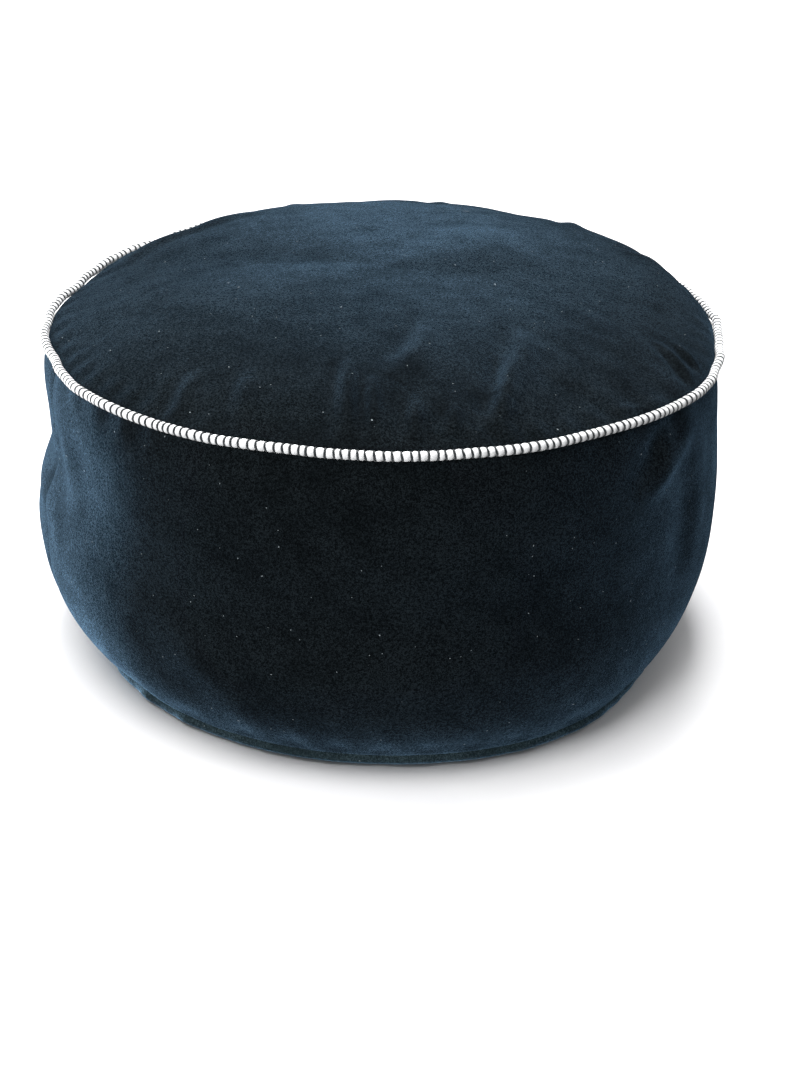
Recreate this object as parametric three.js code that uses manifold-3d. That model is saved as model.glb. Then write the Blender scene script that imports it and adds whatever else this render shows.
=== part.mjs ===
import * as THREE from 'three';
import { mergeVertices } from 'three/addons/utils/BufferGeometryUtils.js';
import Module from 'manifold-3d';

// A round, drum-shaped floor cushion. The removable cover is sewn from a crowned top panel,
// two side bands and a base, and a bound cord runs round the top seam. The base has a zip
// across it in a shallow recess, whose roof and walls are separate pieces, parted at the
// folds. Inside the cover an inner bag holds the fibre filling.
// Millimetres, +Z up. The origin is on the floor, under the middle of the cushion.

// ---- Whole cushion --------------------------------------------------------------------
const RIM_RADIUS = 266;          // middle to the top seam
const RIM_HEIGHT = 269;          // floor to the top seam
const CROWN_RISE = 41;           // top seam to the highest point of the top panel
const CROWN_POWER = 2.5;         // higher makes the crown flatter in the middle
const SHOULDER_SWELL = 5;        // pull of the side's curve outwards, below the top seam
const HIP_SWELL = 52;            // pull of the side's curve outwards, above the base seam
const BASE_SEAM_RADIUS = 244;
const BASE_SEAM_HEIGHT = 17;
const FLOOR_RADIUS = 226;        // the flat round that stands on the floor

// ---- Cloth ----------------------------------------------------------------------------
const COVER_CLOTH = 1.6;         // velvet with its pile
const BAG_CLOTH = 1;
const COVER_TO_BAG = 1;          // clearance all round the inner bag
const SEAM_GAP = 0.3;            // between pieces that touch
const SIDE_SEAM_ANGLE = 18;      // degrees; the two upright seams lie opposite each other
const BAG_SEAM_DROP = 36;        // inner bag's top seam, below the cover's top seam

// ---- Cord round the top seam ----------------------------------------------------------
const CORD_DIAMETER = 6.4;
const THREAD_DIAMETER = 0.7;     // the binding thread that is wound round the cord
const THREAD_OPENING = 70;       // degrees of the cord, on the seam's side, that stay bare
const LIP_THICKNESS = 0.6;       // the woven lip that is sewn into the seam
const LIP_DEPTH = 10;
const BAG_RIM_ROUNDING = 3.2 * LIP_DEPTH;  // leaves room for the lip inside the corner

// ---- Zip across the base --------------------------------------------------------------
const ZIP_LENGTH = 350;          // along the coil
const ZIP_SLOT_WIDTH = 14;       // between the folded edges of the facings
const ZIP_SLOT_MARGIN = 10;      // slot past each end of the coil
const ZIP_RECESS = 8.5;          // how far the zip is drawn up from the floor
const RECESS_LEVEL_WIDTH = 40;   // level roof of the recess
const RECESS_LEVEL_MARGIN = 26;  // level roof past each end of the coil
const RECESS_SLOPE = 15;         // run of its sloping sides
const TAPE_WIDTH = 16;
const TAPE_THICKNESS = 0.7;
const TAPE_END = 6;              // tape past each end of the coil
const COIL_WIDTH = 2.8;          // one half
const COIL_HEIGHT = 1.8;
const CENTRE_GAP = 1.2;          // between the two halves, where the slider's post runs
const STOP_LENGTH = 3;

// ---- Slider and pull ------------------------------------------------------------------
const SLIDER_LENGTH = 13;
const SLIDER_NOSE_WIDTH = 10;
const SLIDER_TAIL_WIDTH = 9;
const PLATE_THICKNESS = 1.2;
const FLANGE_THICKNESS = 0.9;
const POST_WIDTH = 0.6;
const POST_LENGTH = 3;
const RUNNING_GAP = 0.3;         // slider to the coil and tape
const BAIL_WIDTH = 2;            // across the zip
const BAIL_HOLE = 2.8;
const BAIL_THICKNESS = 1.1;
const PULL_LENGTH = 24;
const PULL_WIDTH = 7;
const PULL_THICKNESS = 1.2;
const PULL_SLOT_WIDTH = 3.2;
const PULL_SLOT_LENGTH = 4.8;

// ---- Facets ---------------------------------------------------------------------------
const SEGMENTS = 40;             // round every turned piece, so that nested facets line up
const BAND_STEPS = 6;
const CROWN_STEPS = 5;
const ROLL_STEPS = 3;
const BOUND_FACETS = 7;          // round the cord, under its binding thread
const BARE_FACETS = 2;           // round the cord, on the seam's side
const BEYOND = 100;              // how far a cutting block reaches past the cushion

const wasm = await Module();
wasm.setup();

const BEYOND_RADIUS = RIM_RADIUS + HIP_SWELL + BEYOND;
const BEYOND_HEIGHT = RIM_HEIGHT + CROWN_RISE + BEYOND;

// ---- Solids from geometry -------------------------------------------------------------

/** Closed geometry as a solid that can be joined and cut. */
function toSolid(geometry) {
  const bare = geometry.index ? geometry.toNonIndexed() : geometry.clone();
  bare.deleteAttribute('normal');
  bare.deleteAttribute('uv');
  const merged = mergeVertices(bare, 1e-4);
  const corners = merged.index.array;
  const kept = [];
  for (let i = 0; i < corners.length; i += 3) {
    const [a, b, c] = [corners[i], corners[i + 1], corners[i + 2]];
    if (a !== b && b !== c && c !== a) {
      kept.push(a, b, c);
    }
  }
  return new wasm.Manifold(new wasm.Mesh({
    numProp: 3,
    vertProperties: new Float32Array(merged.attributes.position.array),
    triVerts: new Uint32Array(kept),
  }));
}

/** Geometry of a solid. */
function toGeometry(solid) {
  const mesh = solid.getMesh();
  const geometry = new THREE.BufferGeometry();
  geometry.setAttribute('position', new THREE.BufferAttribute(mesh.vertProperties, 3));
  geometry.setIndex(new THREE.BufferAttribute(mesh.triVerts, 1));
  geometry.computeVertexNormals();
  return geometry;
}

/** Solid turned about the upright axis from (radius, height) points. */
function turned(points) {
  return toSolid(new THREE.LatheGeometry(points, SEGMENTS).rotateX(Math.PI / 2));
}

/** Block between two corners. */
function block(low, high) {
  const size = new THREE.Vector3().subVectors(high, low);
  const middle = new THREE.Vector3().addVectors(low, high).multiplyScalar(0.5);
  const geometry = new THREE.BoxGeometry(size.x, size.y, size.z);
  return geometry.translate(middle.x, middle.y, middle.z);
}

/** Outline in the XY plane, raised from one height to another. */
function plate(shape, bottom, top) {
  const settings = { depth: top - bottom, bevelEnabled: false, curveSegments: 6 };
  return new THREE.ExtrudeGeometry(shape, settings).translate(0, 0, bottom);
}

// ---- The drum's outline ---------------------------------------------------------------

/** Base, side and crown outlines as (radius, height) points, each ending where the next starts. */
function outlineParts() {
  const floorEdge = new THREE.Vector2(FLOOR_RADIUS, 0);
  const seam = new THREE.Vector2(BASE_SEAM_RADIUS, BASE_SEAM_HEIGHT);
  const rim = new THREE.Vector2(RIM_RADIUS, RIM_HEIGHT);
  const third = (RIM_HEIGHT - BASE_SEAM_HEIGHT) / 3;
  const rollCorner = new THREE.Vector2((FLOOR_RADIUS + 2 * BASE_SEAM_RADIUS) / 3, 0);
  const roll = new THREE.QuadraticBezierCurve(floorEdge, rollCorner, seam);
  const side = new THREE.CubicBezierCurve(
    seam,
    new THREE.Vector2(BASE_SEAM_RADIUS + HIP_SWELL, BASE_SEAM_HEIGHT + third),
    new THREE.Vector2(RIM_RADIUS + SHOULDER_SWELL, RIM_HEIGHT - third),
    rim,
  );
  const crown = [];
  for (let step = 0; step <= CROWN_STEPS; step += 1) {
    const share = 1 - step / CROWN_STEPS;
    const height = RIM_HEIGHT + CROWN_RISE * (1 - share ** CROWN_POWER);
    crown.push(new THREE.Vector2(RIM_RADIUS * share, height));
  }
  return {
    base: [new THREE.Vector2(0, 0), ...roll.getPoints(ROLL_STEPS)],
    side: side.getPoints(BAND_STEPS),
    crown,
  };
}

/** Outline of the whole drum, with its rim corner cut back by a rounding along both sides. */
function drumOutline(rimRounding) {
  const { base, side, crown } = outlineParts();
  const rim = side.at(-1);
  const lower = side.slice(0, -1);
  const upper = crown.slice(1);
  if (rimRounding === 0) {
    return [...base.slice(0, -1), ...lower, rim, ...upper];
  }
  const below = rim.clone().add(lower.at(-1).clone().sub(rim).setLength(rimRounding));
  const inward = rim.clone().add(upper[0].clone().sub(rim).setLength(rimRounding));
  const rounding = new THREE.QuadraticBezierCurve(below, rim, inward).getPoints(2);
  return [...base.slice(0, -1), ...lower, ...rounding, ...upper];
}

/** Unit normal of an outline's stretch, pointing out of the drum. */
function outward(from, to) {
  const along = to.clone().sub(from).normalize();
  return new THREE.Vector2(along.y, -along.x);
}

/** Outline moved inwards by one distance everywhere. */
function inset(points, distance) {
  return points.map((point, i) => {
    const before = i > 0 ? outward(points[i - 1], point) : null;
    const after = i < points.length - 1 ? outward(point, points[i + 1]) : null;
    if (!before || !after) {
      const up = (before ?? after).y > 0 ? 1 : -1;
      return new THREE.Vector2(0, point.y - up * distance);
    }
    const middle = before.clone().add(after).normalize();
    return point.clone().addScaledVector(middle, -distance / middle.dot(after));
  });
}

/** The recess that the zip is drawn up into: level roof, sloping sides. */
function recess(height, widening) {
  const levelX = ZIP_LENGTH / 2 + RECESS_LEVEL_MARGIN + widening;
  const levelY = RECESS_LEVEL_WIDTH / 2 + widening;
  const floor = -1;
  const slope = RECESS_SLOPE * (height - floor) / height;
  const low = new THREE.Vector3(-levelX, -levelY, floor);
  const high = new THREE.Vector3(levelX, levelY, height);
  const geometry = block(low, high);
  const corners = geometry.attributes.position;
  for (let i = 0; i < corners.count; i += 1) {
    if (corners.getZ(i) < 0) {
      corners.setX(i, corners.getX(i) + Math.sign(corners.getX(i)) * slope);
      corners.setY(i, corners.getY(i) + Math.sign(corners.getY(i)) * slope);
    }
  }
  return toSolid(geometry);
}

/** Drum solid, a distance inside the cover's outer face, with its own recess for the zip. */
function drum(distance, rimRounding, recessHeight, recessWidening) {
  const body = turned(inset(drumOutline(rimRounding), distance));
  return body.subtract(recess(recessHeight, recessWidening));
}

// ---- Cuts along the seams -------------------------------------------------------------

/** Rim corner, the direction straight out of it, and the direction across the seam. */
function rimSeam() {
  const { side, crown } = outlineParts();
  const rim = side.at(-1);
  const out = outward(side.at(-2), rim).add(outward(rim, crown[1])).normalize();
  const across = new THREE.Vector2(-out.y, out.x);
  return { rim, out, across };
}

/** Everything above the top seam, or below it, for a cut of the given width. */
function besideRim(above, width) {
  const { rim, out, across } = rimSeam();
  const reach = CORD_DIAMETER * 4;
  const shift = across.clone().multiplyScalar(above ? width / 2 : -width / 2);
  const inner = rim.clone().addScaledVector(out, -reach).add(shift);
  const outer = rim.clone().addScaledVector(out, reach).add(shift);
  if (above) {
    return turned([
      new THREE.Vector2(0, inner.y),
      inner,
      outer,
      new THREE.Vector2(outer.x, BEYOND_HEIGHT),
      new THREE.Vector2(0, BEYOND_HEIGHT),
    ]);
  }
  return turned([
    new THREE.Vector2(0, -BEYOND),
    new THREE.Vector2(outer.x, -BEYOND),
    outer,
    inner,
    new THREE.Vector2(0, inner.y),
  ]);
}

/** Everything between two heights. */
function layer(bottom, top) {
  return toSolid(block(
    new THREE.Vector3(-BEYOND_RADIUS, -BEYOND_RADIUS, bottom),
    new THREE.Vector3(BEYOND_RADIUS, BEYOND_RADIUS, top),
  ));
}

/** Everything in front of an upright plane through the middle, or behind it. */
function half(front, angle) {
  const near = front ? -BEYOND_RADIUS : SEAM_GAP / 2;
  const far = front ? -SEAM_GAP / 2 : BEYOND_RADIUS;
  const geometry = block(
    new THREE.Vector3(-BEYOND_RADIUS, near, -BEYOND),
    new THREE.Vector3(BEYOND_RADIUS, far, BEYOND_HEIGHT),
  );
  return toSolid(geometry.rotateZ(THREE.MathUtils.degToRad(angle)));
}

// ---- Heights in the zip, from the floor up ---------------------------------------------
const CLOTH_TOP = ZIP_RECESS + COVER_CLOTH;
const TAPE_BOTTOM = CLOTH_TOP + SEAM_GAP;
const TAPE_TOP = TAPE_BOTTOM + TAPE_THICKNESS;
const COIL_TOP = TAPE_BOTTOM - SEAM_GAP;
const COIL_BOTTOM = COIL_TOP - COIL_HEIGHT;
const LOWER_PLATE_TOP = COIL_BOTTOM - RUNNING_GAP;
const LOWER_PLATE_BOTTOM = LOWER_PLATE_TOP - PLATE_THICKNESS;
const UPPER_PLATE_BOTTOM = TAPE_TOP + RUNNING_GAP;
const UPPER_PLATE_TOP = UPPER_PLATE_BOTTOM + PLATE_THICKNESS;
const PIVOT_HEIGHT = LOWER_PLATE_BOTTOM - BAIL_HOLE / 2;
const SLIDER_X = (ZIP_LENGTH - SLIDER_LENGTH) / 2 - SEAM_GAP;

// ---- Cover ----------------------------------------------------------------------------

/** Whole cover as one shell, before it is cut into panels. */
function coverShell() {
  const outer = drum(0, 0, ZIP_RECESS, 0);
  return outer.subtract(drum(COVER_CLOTH, 0, CLOTH_TOP, COVER_CLOTH));
}

/** Top panel. */
function topPanel(shell) {
  return toGeometry(shell.intersect(besideRim(true, LIP_THICKNESS + 2 * SEAM_GAP)));
}

/** Front or back half of the side. */
function sideBand(shell, front) {
  const belowRim = besideRim(false, LIP_THICKNESS + 2 * SEAM_GAP);
  const aboveBase = layer(BASE_SEAM_HEIGHT + SEAM_GAP / 2, BEYOND_HEIGHT);
  const band = shell.intersect(belowRim).intersect(aboveBase);
  return toGeometry(band.intersect(half(front, SIDE_SEAM_ANGLE)));
}

/** Everything straight above and below an outline on the floor. */
function column(corners) {
  const outline = new THREE.Shape(corners.map(([x, y]) => new THREE.Vector2(x, y)));
  return toSolid(plate(outline, -BEYOND, BEYOND_HEIGHT));
}

/** Column over a rectangle. */
function rectangle(startX, endX, startY, endY) {
  return column([[startX, startY], [endX, startY], [endX, endY], [startX, endY]]);
}

const FOLD_GAP = SEAM_GAP / 2;
const MITRE_GAP = FOLD_GAP * Math.SQRT2;  // the same gap, measured along an axis
const SLOT_SIDE = ZIP_SLOT_WIDTH / 2;
const SLOT_END = ZIP_LENGTH / 2 + ZIP_SLOT_MARGIN;
const LEVEL_SIDE = RECESS_LEVEL_WIDTH / 2;
const LEVEL_END = ZIP_LENGTH / 2 + RECESS_LEVEL_MARGIN;
const RECESS_SIDE = LEVEL_SIDE + RECESS_SLOPE;
const RECESS_END = LEVEL_END + RECESS_SLOPE;

/** The base, below the base seam, before it is cut into its pieces. */
function baseShell(shell) {
  return shell.intersect(layer(-BEYOND, BASE_SEAM_HEIGHT - FOLD_GAP));
}

/** Base panel beside the recess; side is -1 in front and 1 behind. */
function basePanel(base, side) {
  const near = side * (RECESS_SIDE + FOLD_GAP);
  const far = side * BEYOND_RADIUS;
  return toGeometry(base.intersect(rectangle(-BEYOND_RADIUS, BEYOND_RADIUS, near, far)));
}

/** Sloping wall of the recess, mitred at both ends. */
function recessWall(base, side) {
  const near = LEVEL_SIDE + FOLD_GAP;
  const far = RECESS_SIDE - FOLD_GAP;
  const nearEnd = LEVEL_END + FOLD_GAP - MITRE_GAP;
  const farEnd = RECESS_END - FOLD_GAP - MITRE_GAP;
  const wall = column([
    [-nearEnd, side * near],
    [nearEnd, side * near],
    [farEnd, side * far],
    [-farEnd, side * far],
  ]);
  return toGeometry(base.intersect(wall));
}

/** Level strip between a recess wall and the slot, which carries one tape. */
function zipFacing(base, side) {
  const near = side * SLOT_SIDE;
  const far = side * (LEVEL_SIDE - FOLD_GAP);
  const end = SLOT_END - FOLD_GAP;
  return toGeometry(base.intersect(rectangle(-end, end, near, far)));
}

/** Level tab across one end of the zip; end is -1 at the open end and 1 at the closed end. */
function zipEndTab(base, end) {
  const near = end * (SLOT_END + FOLD_GAP);
  const far = end * (LEVEL_END - FOLD_GAP);
  const edge = LEVEL_SIDE - FOLD_GAP;
  return toGeometry(base.intersect(rectangle(near, far, -edge, edge)));
}

/** End of the base past the zip, with the sloping end of the recess. */
function baseEnd(base, end) {
  const tip = LEVEL_SIDE + FOLD_GAP - MITRE_GAP;
  const edge = RECESS_SIDE - FOLD_GAP;
  const tipX = end * (LEVEL_END + FOLD_GAP);
  const edgeX = end * (RECESS_END - FOLD_GAP + MITRE_GAP);
  const farX = end * BEYOND_RADIUS;
  const outline = column([
    [tipX, -tip],
    [edgeX, -edge],
    [farX, -edge],
    [farX, edge],
    [edgeX, edge],
    [tipX, tip],
  ]);
  return toGeometry(base.intersect(outline));
}

// ---- Cord -----------------------------------------------------------------------------

/** Middle of the cord's section. */
function cordMiddle() {
  const { rim, out } = rimSeam();
  const stand = CORD_DIAMETER / 2 + THREAD_DIAMETER + 2 * SEAM_GAP;
  return rim.clone().addScaledVector(out, stand);
}

/** Points on an arc about the cord's middle, turning anticlockwise. */
function cordArc(radius, from, to, steps) {
  const middle = cordMiddle();
  const points = [];
  for (let step = 0; step <= steps; step += 1) {
    const angle = from + (to - from) * step / steps;
    points.push(new THREE.Vector2(
      middle.x + radius * Math.cos(angle),
      middle.y + radius * Math.sin(angle),
    ));
  }
  return points;
}

/** First and last angle of the binding thread's sleeve about the cord's middle. */
function boundAngles() {
  const { out } = rimSeam();
  const bare = THREE.MathUtils.degToRad(THREAD_OPENING / 2);
  const seamward = Math.atan2(out.y, out.x) - Math.PI;
  return [seamward + bare, seamward + 2 * Math.PI - bare];
}

/** The soft cord itself, with its facets in line with the binding thread's. */
function edgeCord() {
  const [from, to] = boundAngles();
  const radius = CORD_DIAMETER / 2;
  const bound = cordArc(radius, from, to, BOUND_FACETS);
  const bare = cordArc(radius, to, from + 2 * Math.PI, BARE_FACETS);
  return toGeometry(turned([...bound, ...bare.slice(1, -1), bound[0].clone()]));
}

/** Outer shape of the binding thread's turns: a thin sleeve, open towards the seam. */
function bindingThread() {
  const [from, to] = boundAngles();
  const inside = CORD_DIAMETER / 2 + SEAM_GAP;
  const outerArc = cordArc(inside + THREAD_DIAMETER, from, to, BOUND_FACETS);
  const innerArc = cordArc(inside, from, to, BOUND_FACETS).reverse();
  return toGeometry(turned([...outerArc, ...innerArc, outerArc[0].clone()]));
}

/** Woven lip of the cord, between the edges of the top panel and the side bands. */
function cordLip() {
  const { rim, out, across } = rimSeam();
  const start = CORD_DIAMETER / 2 + SEAM_GAP;
  const outer = cordMiddle().addScaledVector(out, -start);
  const inner = rim.clone().addScaledVector(out, -LIP_DEPTH);
  const side = across.clone().multiplyScalar(LIP_THICKNESS / 2);
  const ring = [
    inner.clone().sub(side),
    outer.clone().sub(side),
    outer.clone().add(side),
    inner.clone().add(side),
    inner.clone().sub(side),
  ];
  return toGeometry(turned(ring));
}

// ---- Inner bag and filling ------------------------------------------------------------
const BAG_INSET = COVER_CLOTH + COVER_TO_BAG;
const BAG_RECESS = UPPER_PLATE_TOP + COVER_TO_BAG;
const BAG_SEAM_HEIGHT = RIM_HEIGHT - BAG_SEAM_DROP;
const FILLING_INSET = BAG_INSET + BAG_CLOTH + SEAM_GAP;
const BAG_WIDENING = BAG_RECESS - ZIP_RECESS;

/** Whole inner bag as one shell, before it is cut into panels. */
function bagShell() {
  const outer = drum(BAG_INSET, BAG_RIM_ROUNDING, BAG_RECESS, BAG_WIDENING);
  const inner = drum(
    BAG_INSET + BAG_CLOTH,
    BAG_RIM_ROUNDING,
    BAG_RECESS + BAG_CLOTH,
    BAG_WIDENING + BAG_CLOTH,
  );
  return outer.subtract(inner);
}

/** One piece of the inner bag, between two heights. */
function bagPiece(shell, bottom, top) {
  return toGeometry(shell.intersect(layer(bottom, top)));
}

/** Fibre filling, in the shape it is pressed into. */
function fibreFilling() {
  const lift = BAG_CLOTH + SEAM_GAP;
  return toGeometry(drum(
    FILLING_INSET,
    BAG_RIM_ROUNDING,
    BAG_RECESS + lift,
    BAG_WIDENING + lift,
  ));
}

// ---- Zip ------------------------------------------------------------------------------

/** Block on one side of the zip's centre line; side is -1 in front and 1 behind. */
function besideCentre(side, startX, endX, width, bottom, top) {
  const inner = side * CENTRE_GAP / 2;
  const outer = side * (CENTRE_GAP / 2 + width);
  return block(
    new THREE.Vector3(startX, Math.min(inner, outer), bottom),
    new THREE.Vector3(endX, Math.max(inner, outer), top),
  );
}

/** Woven tape. */
function zipTape(side) {
  const end = ZIP_LENGTH / 2 + TAPE_END;
  return besideCentre(side, -end, end, TAPE_WIDTH, TAPE_BOTTOM, TAPE_TOP);
}

/** One half of the coil: the outer shape of its turns, a flattened round. */
function zipCoil(side) {
  const middleY = side * (CENTRE_GAP + COIL_WIDTH) / 2;
  const middleZ = (COIL_BOTTOM + COIL_TOP) / 2;
  const section = new THREE.Shape();
  section.absellipse(0, 0, COIL_HEIGHT / 2, COIL_WIDTH / 2, 0, 2 * Math.PI);
  const settings = { depth: ZIP_LENGTH, bevelEnabled: false, curveSegments: 10 };
  const geometry = new THREE.ExtrudeGeometry(section, settings);
  return geometry.rotateY(Math.PI / 2).translate(-ZIP_LENGTH / 2, middleY, middleZ);
}

/** Stop past one end of the coil, on one half of it. */
function zipTopStop(side) {
  const start = ZIP_LENGTH / 2 + SEAM_GAP;
  return besideCentre(side, start, start + STOP_LENGTH, COIL_WIDTH, COIL_BOTTOM, COIL_TOP);
}

/** Stop past the other end, across both halves. */
function zipBottomStop() {
  const start = -ZIP_LENGTH / 2 - SEAM_GAP;
  const side = CENTRE_GAP / 2 + COIL_WIDTH;
  return block(
    new THREE.Vector3(start - STOP_LENGTH, -side, COIL_BOTTOM),
    new THREE.Vector3(start, side, COIL_TOP),
  );
}

/** Outline of the slider's plates, wider at the nose. */
function sliderOutline() {
  const nose = SLIDER_LENGTH / 2;
  const shape = new THREE.Shape();
  shape.moveTo(-nose, -SLIDER_TAIL_WIDTH / 2);
  shape.lineTo(nose / 2, -SLIDER_NOSE_WIDTH / 2);
  shape.quadraticCurveTo(nose, -SLIDER_NOSE_WIDTH / 2, nose, 0);
  shape.quadraticCurveTo(nose, SLIDER_NOSE_WIDTH / 2, nose / 2, SLIDER_NOSE_WIDTH / 2);
  shape.lineTo(-nose, SLIDER_TAIL_WIDTH / 2);
  shape.closePath();
  return shape;
}

/** Arch under the lower plate that holds the pull. */
function sliderBail() {
  const reach = BAIL_HOLE / 2 + BAIL_THICKNESS;
  const top = LOWER_PLATE_BOTTOM + PLATE_THICKNESS / 2;
  const bottom = LOWER_PLATE_BOTTOM - BAIL_HOLE - BAIL_THICKNESS;
  const arch = toSolid(block(
    new THREE.Vector3(-reach, -BAIL_WIDTH / 2, bottom),
    new THREE.Vector3(reach, BAIL_WIDTH / 2, top),
  ));
  const hole = toSolid(block(
    new THREE.Vector3(-BAIL_HOLE / 2, -BAIL_WIDTH, LOWER_PLATE_BOTTOM - BAIL_HOLE),
    new THREE.Vector3(BAIL_HOLE / 2, BAIL_WIDTH, LOWER_PLATE_BOTTOM),
  ));
  return arch.subtract(hole);
}

/** Slider: two plates round the coil and tapes, joined by a thin post at the nose. */
function zipSlider() {
  const outline = sliderOutline();
  const lower = toSolid(plate(outline, LOWER_PLATE_BOTTOM, LOWER_PLATE_TOP));
  const upper = toSolid(plate(outline, UPPER_PLATE_BOTTOM, UPPER_PLATE_TOP));
  const postEnd = SLIDER_LENGTH / 2 - 1;
  const post = toSolid(block(
    new THREE.Vector3(postEnd - POST_LENGTH, -POST_WIDTH / 2, LOWER_PLATE_TOP - PLATE_THICKNESS / 2),
    new THREE.Vector3(postEnd, POST_WIDTH / 2, UPPER_PLATE_BOTTOM + PLATE_THICKNESS / 2),
  ));
  const inside = CENTRE_GAP / 2 + COIL_WIDTH + RUNNING_GAP;
  const flangeX = SLIDER_LENGTH / 2;
  const flanges = [-1, 1].map((side) => {
    const outside = inside + FLANGE_THICKNESS;
    const flange = toSolid(block(
      new THREE.Vector3(-flangeX, Math.min(side * inside, side * outside), LOWER_PLATE_BOTTOM),
      new THREE.Vector3(flangeX / 2, Math.max(side * inside, side * outside), TAPE_BOTTOM - RUNNING_GAP),
    ));
    return flange;
  });
  let slider = lower.add(upper).add(post).add(sliderBail());
  for (const flange of flanges) {
    slider = slider.add(flange);
  }
  return toGeometry(slider.translate([SLIDER_X, 0, 0]));
}

/** Pull: a flat tab whose end bar passes through the slider's arch. */
function zipPull() {
  const bar = PULL_THICKNESS / 2;
  const end = bar - PULL_LENGTH;
  const round = PULL_WIDTH / 2;
  const tab = new THREE.Shape();
  tab.moveTo(bar, -round);
  tab.lineTo(bar, round);
  tab.lineTo(end + round, round);
  tab.absarc(end + round, 0, round, Math.PI / 2, 3 * Math.PI / 2, false);
  tab.closePath();
  const slot = new THREE.Path();
  slot.moveTo(-bar, -PULL_SLOT_WIDTH / 2);
  slot.lineTo(-bar - PULL_SLOT_LENGTH, -PULL_SLOT_WIDTH / 2);
  slot.lineTo(-bar - PULL_SLOT_LENGTH, PULL_SLOT_WIDTH / 2);
  slot.lineTo(-bar, PULL_SLOT_WIDTH / 2);
  slot.closePath();
  tab.holes.push(slot);
  const geometry = plate(tab, PIVOT_HEIGHT - bar, PIVOT_HEIGHT + bar);
  return geometry.translate(SLIDER_X, 0, 0);
}

// ---- Materials ------------------------------------------------------------------------
const material = (color, roughness, metalness) =>
  new THREE.MeshStandardMaterial({ color, roughness, metalness });
const velvet = () => material('#14323c', 0.85, 0);
const baseCloth = () => material('#10272f', 0.9, 0);
const whiteCotton = () => material('#e4e1d8', 0.9, 0);
const darkThread = () => material('#16303a', 0.7, 0);
const tapeWeave = () => material('#12262d', 0.85, 0);
const coilPlastic = () => material('#16282e', 0.45, 0);
const zipMetal = () => material('#3a3d40', 0.35, 1);
const bagCloth = () => material('#e8e6df', 0.9, 0);
const fibre = () => material('#f4f3ef', 0.95, 0);

// ---- Assembly -------------------------------------------------------------------------
const group = new THREE.Group();

/** Adds one named piece. */
function addPiece(name, geometry, finish) {
  const mesh = new THREE.Mesh(geometry, finish);
  mesh.name = name;
  group.add(mesh);
}

const cover = coverShell();
addPiece('top_panel', topPanel(cover), velvet());
addPiece('side_band_front', sideBand(cover, true), velvet());
addPiece('side_band_back', sideBand(cover, false), velvet());
const base = baseShell(cover);
for (const [place, side] of [['front', -1], ['back', 1]]) {
  addPiece(`base_panel_${place}`, basePanel(base, side), baseCloth());
  addPiece(`recess_wall_${place}`, recessWall(base, side), baseCloth());
  addPiece(`zip_facing_${place}`, zipFacing(base, side), baseCloth());
}
for (const [place, end] of [['left', -1], ['right', 1]]) {
  addPiece(`base_end_${place}`, baseEnd(base, end), baseCloth());
  addPiece(`zip_end_tab_${place}`, zipEndTab(base, end), baseCloth());
}

addPiece('edge_cord', edgeCord(), whiteCotton());
addPiece('edge_cord_lip', cordLip(), whiteCotton());
addPiece('binding_thread', bindingThread(), darkThread());

for (const [place, side] of [['front', -1], ['back', 1]]) {
  addPiece(`zip_tape_${place}`, zipTape(side), tapeWeave());
  addPiece(`zip_coil_${place}`, zipCoil(side), coilPlastic());
  addPiece(`zip_top_stop_${place}`, zipTopStop(side), zipMetal());
}
addPiece('zip_bottom_stop', zipBottomStop(), zipMetal());
addPiece('zip_slider', zipSlider(), zipMetal());
addPiece('zip_pull', zipPull(), zipMetal());

const bag = bagShell();
const BAG_BASE_TOP = BASE_SEAM_HEIGHT + BAG_INSET;
addPiece('inner_bag_top', bagPiece(bag, BAG_SEAM_HEIGHT + SEAM_GAP / 2, BEYOND_HEIGHT), bagCloth());
addPiece(
  'inner_bag_band',
  bagPiece(bag, BAG_BASE_TOP + SEAM_GAP / 2, BAG_SEAM_HEIGHT - SEAM_GAP / 2),
  bagCloth(),
);
addPiece('inner_bag_base', bagPiece(bag, -BEYOND, BAG_BASE_TOP - SEAM_GAP / 2), bagCloth());
addPiece('fibre_filling', fibreFilling(), fibre());

export default group;
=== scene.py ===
"""Looks of a round velvet floor cushion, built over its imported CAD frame.

The cover is a crowned drum of dark velvet with a bound cord round its top seam. The shape of
the visible cloth comes from a profile, a cloth simulation and a few placed folds.
"""
import logging
import math
from dataclasses import dataclass
from enum import Enum

import bpy
import numpy as np
from mathutils import Matrix, Vector


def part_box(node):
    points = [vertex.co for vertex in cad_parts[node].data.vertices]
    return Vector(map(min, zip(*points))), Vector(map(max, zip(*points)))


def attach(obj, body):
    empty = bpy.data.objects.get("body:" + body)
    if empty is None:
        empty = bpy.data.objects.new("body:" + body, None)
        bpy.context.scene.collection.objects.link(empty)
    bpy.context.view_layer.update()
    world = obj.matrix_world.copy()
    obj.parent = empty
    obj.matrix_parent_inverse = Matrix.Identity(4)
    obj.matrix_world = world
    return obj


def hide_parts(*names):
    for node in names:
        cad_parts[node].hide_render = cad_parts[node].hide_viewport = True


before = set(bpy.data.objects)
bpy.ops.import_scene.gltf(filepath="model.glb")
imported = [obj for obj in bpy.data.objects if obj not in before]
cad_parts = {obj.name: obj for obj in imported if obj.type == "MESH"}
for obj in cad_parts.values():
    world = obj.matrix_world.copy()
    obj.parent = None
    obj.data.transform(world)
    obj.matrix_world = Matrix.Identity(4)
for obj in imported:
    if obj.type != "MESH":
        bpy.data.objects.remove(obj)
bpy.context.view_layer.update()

logging.basicConfig(level=logging.INFO, format="%(message)s")
LOG = logging.getLogger("cushion")

Array = np.ndarray
Material = bpy.types.Material
Piece = bpy.types.Object
Socket = bpy.types.NodeSocket

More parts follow.
